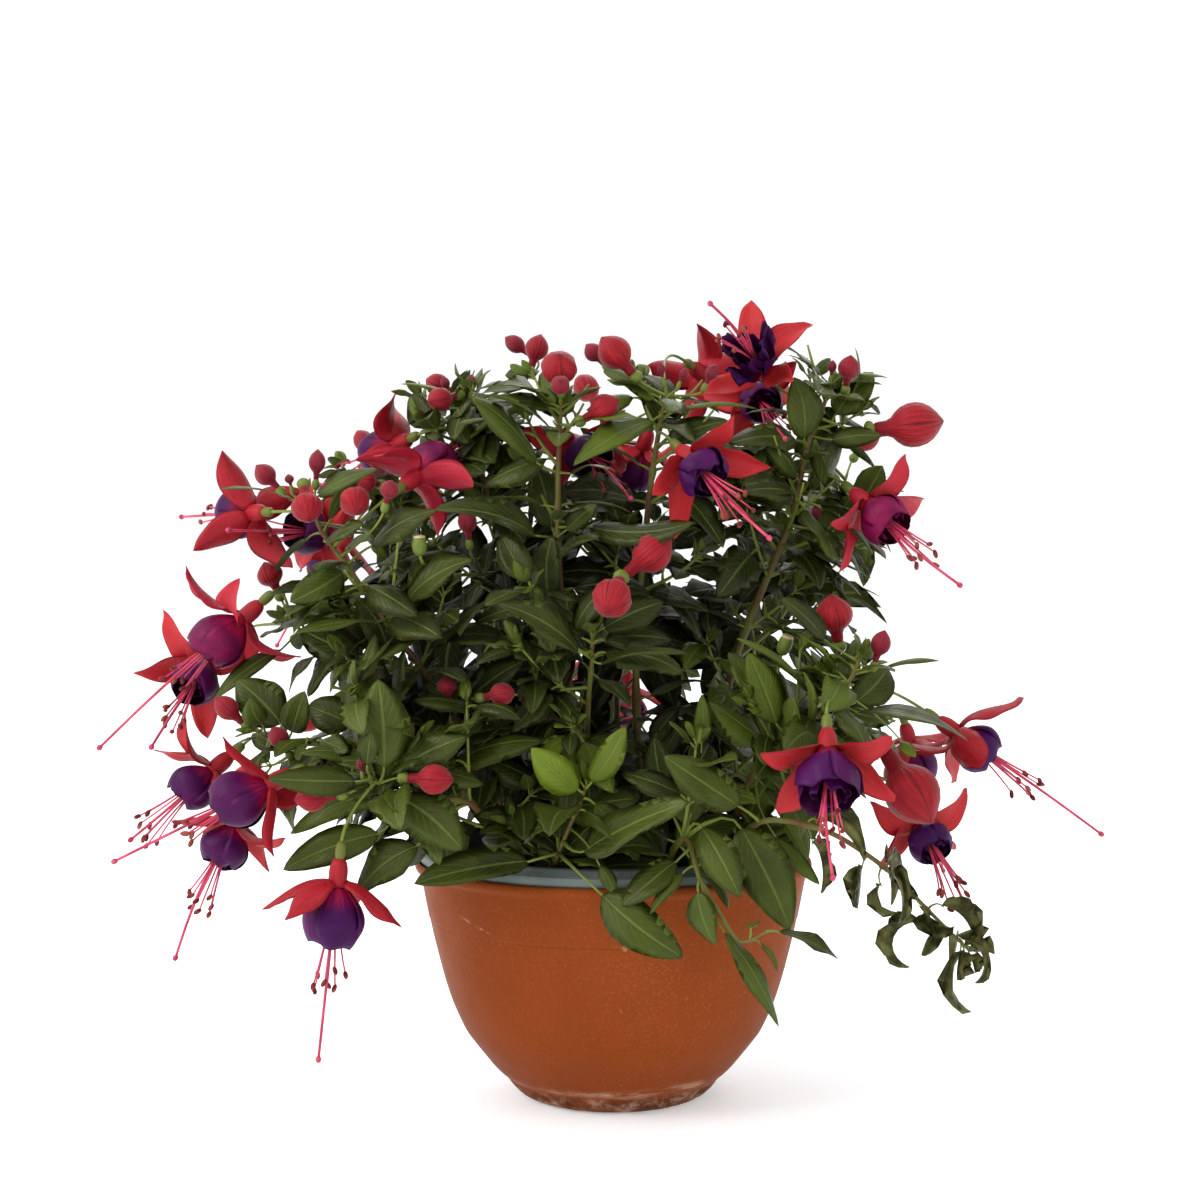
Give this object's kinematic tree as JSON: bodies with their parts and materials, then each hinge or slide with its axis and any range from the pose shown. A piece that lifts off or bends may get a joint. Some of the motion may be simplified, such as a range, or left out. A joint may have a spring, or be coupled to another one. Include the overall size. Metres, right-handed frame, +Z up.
{
  "type": "fuchsia in a hanging bowl",
  "caption": "Flowering fuchsia with arching leafy stems and pendent blooms in a round-bottomed bowl with an inner pot.",
  "frame": {"origin": "middle of the bowl's flat foot, on the surface it stands on", "axes": "+Z up along the bowl's axis; -Y towards the side shown in the picture; +X to its right"},
  "size_m": [0.5301, 0.4554, 0.436],
  "materials": {
    "terracotta": "satin",
    "grey_plastic": "matte",
    "peat": "rough",
    "foliage": "satin leaf",
    "sepal_red": "satin petal",
    "corolla_violet": "soft petal"
  },
  "bodies": {
    "root": {"bowl": "terracotta", "inner_pot": "grey_plastic", "soil": "peat", "stem_centre": "foliage", "stem_front": "foliage", "stem_upper_left": "foliage", "stem_left": "foliage", "stem_upper_right": "foliage", "stem_right": "foliage", "stem_low_right": "foliage", "stem_wilted": "foliage", "stem_front_right": "foliage", "stem_low_left": "foliage", "stem_back": "foliage", "bloom_01": "sepal_red", "corolla_01": "corolla_violet", "bloom_02": "sepal_red", "corolla_02": "corolla_violet", "bloom_03": "sepal_red", "corolla_03": "corolla_violet", "bloom_04": "sepal_red", "corolla_04": "corolla_violet", "bloom_05": "sepal_red", "corolla_05": "corolla_violet", "bloom_06": "sepal_red", "corolla_06": "corolla_violet", "bloom_07": "sepal_red", "corolla_07": "corolla_violet", "bloom_08": "sepal_red", "corolla_08": "corolla_violet", "bloom_09": "sepal_red", "corolla_09": "corolla_violet", "bloom_10": "sepal_red", "corolla_10": "corolla_violet", "bloom_11": "sepal_red", "corolla_11": "corolla_violet", "bloom_12": "sepal_red", "corolla_12": "corolla_violet", "bloom_13": "sepal_red", "corolla_13": "corolla_violet", "bloom_14": "sepal_red", "corolla_14": "corolla_violet", "bloom_15": "sepal_red", "corolla_15": "corolla_violet", "bloom_16": "sepal_red", "corolla_16": "corolla_violet", "bloom_17": "sepal_red", "corolla_17": "corolla_violet", "bloom_18": "sepal_red", "corolla_18": "corolla_violet", "bloom_19": "sepal_red", "corolla_19": "corolla_violet", "bloom_20": "sepal_red", "corolla_20": "corolla_violet", "bloom_21": "sepal_red", "corolla_21": "corolla_violet", "bloom_22": "sepal_red", "corolla_22": "corolla_violet", "bloom_23": "sepal_red", "corolla_23": "corolla_violet"}
  },
  "joints": []
}
